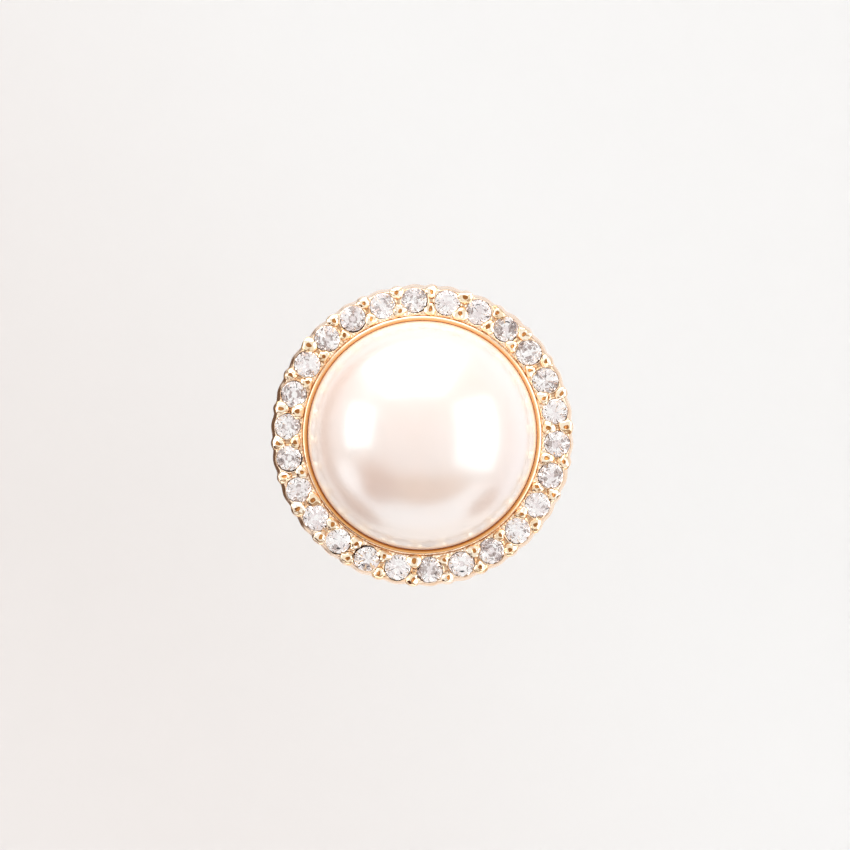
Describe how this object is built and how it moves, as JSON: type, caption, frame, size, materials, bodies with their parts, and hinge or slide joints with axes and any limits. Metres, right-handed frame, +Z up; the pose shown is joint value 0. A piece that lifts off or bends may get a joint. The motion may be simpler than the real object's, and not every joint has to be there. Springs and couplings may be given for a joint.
{
  "type": "clip-on earring",
  "caption": "Round clip-on button earring: a half-round pearl in a plain bezel, ringed by cut stones held in a scalloped gold-tone setting, on a bent spring clip.",
  "frame": {"origin": "middle of the gap that takes the ear lobe, on the axis of the pearl", "axes": "+Z up as worn, the way the lobe leaves the clip; -Y out of the earring's face; +X to the right as the face is seen"},
  "size_m": [0.0234, 0.0174, 0.0236],
  "materials": {
    "plated_setting": "polished pale gold plating on a cast setting",
    "plated_clip": "satin pale gold plating on spring sheet",
    "pearl": "cream simulated pearl with a soft pink lustre",
    "stone": "clear faceted glass with a silver foil back"
  },
  "bodies": {
    "root": {"setting": "plated_setting", "pearl": "pearl", "ear_clip": "plated_clip", "stone_01": "stone", "stone_02": "stone", "stone_03": "stone", "stone_04": "stone", "stone_05": "stone", "stone_06": "stone", "stone_07": "stone", "stone_08": "stone", "stone_09": "stone", "stone_10": "stone", "stone_11": "stone", "stone_12": "stone", "stone_13": "stone", "stone_14": "stone", "stone_15": "stone", "stone_16": "stone", "stone_17": "stone", "stone_18": "stone", "stone_19": "stone", "stone_20": "stone", "stone_21": "stone", "stone_22": "stone", "stone_23": "stone", "stone_24": "stone", "stone_25": "stone", "stone_26": "stone"}
  },
  "joints": []
}
